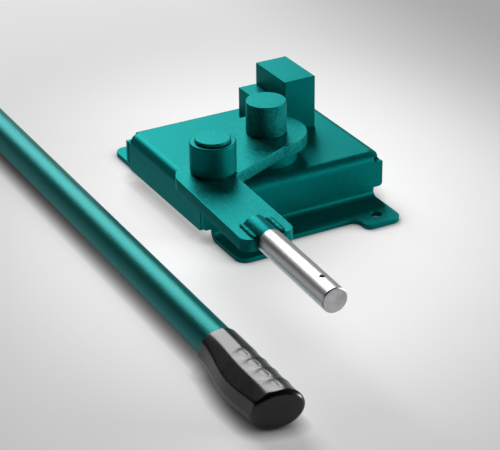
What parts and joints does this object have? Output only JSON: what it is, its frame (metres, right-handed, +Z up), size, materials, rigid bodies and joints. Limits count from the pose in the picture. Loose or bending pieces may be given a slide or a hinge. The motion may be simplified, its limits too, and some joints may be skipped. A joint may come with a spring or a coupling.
{
  "type": "rebar bender",
  "caption": "Bench rebar bender: a folded steel base, a dog-leg arm that swings a roller round a fixed mandrel, blocks that hold the bar, and a loose tubular lever with a grip.",
  "frame": {"origin": "on the floor, under the middle of the box round the bender and its loose lever", "axes": "+Z up; +Y from the lever's grip towards its open end, which is also from the front of the base to its rear; +X to the right, from the lever to the bender"},
  "size_m": [0.3196, 1.0042, 0.1131],
  "materials": {
    "teal_paint": "textured satin powder coat",
    "bright_steel": "drawn bright bar, turned ends",
    "zinc_plate": "zinc plated",
    "bearing_bronze": "plain bearing bronze",
    "black_rubber": "moulded, satin"
  },
  "bodies": {
    "base": {"base_shell": "teal_paint", "pivot_boss": "teal_paint", "thrust_washer": "bearing_bronze", "mandrel": "teal_paint", "pivot_washer": "zinc_plate", "pivot_nut": "zinc_plate", "bar_stop": "teal_paint", "bar_rest": "teal_paint", "stop_bolt_front": "zinc_plate", "stop_bolt_rear": "zinc_plate", "rest_bolt_front": "zinc_plate", "rest_bolt_rear": "zinc_plate", "stop_washer_front": "zinc_plate", "stop_washer_rear": "zinc_plate", "rest_washer_front": "zinc_plate", "rest_washer_rear": "zinc_plate"},
    "arm": {"arm_plate": "teal_paint", "arm_bush": "bearing_bronze", "stub_shaft": "bright_steel", "weld_bead_left": "teal_paint", "weld_bead_right": "teal_paint", "roller_pin": "teal_paint", "pin_washer": "zinc_plate", "pin_ring": "bright_steel", "roller_washer": "bearing_bronze"},
    "roller": {"bending_roller": "teal_paint", "roller_bush": "bearing_bronze"},
    "lever": {"lever_tube": "teal_paint", "lever_grip": "black_rubber"}
  },
  "joints": [
    {"name": "arm_swing", "type": "hinge", "parent": "base", "child": "arm", "pos_m": [0.0543, -0.13433, 0.072], "axis": [0, 0, 1], "range_deg": [-117, 157]},
    {"name": "roller_spin", "type": "hinge", "parent": "arm", "child": "roller", "pos_m": [-0.0322, -0.18838, 0.0946], "axis": [0, 0, 1], "continuous": true},
    {"name": "lever_lift", "type": "slide", "parent": "base", "child": "lever", "axis": [0, 0, 1], "range_m": [0, 0.25]}
  ]
}
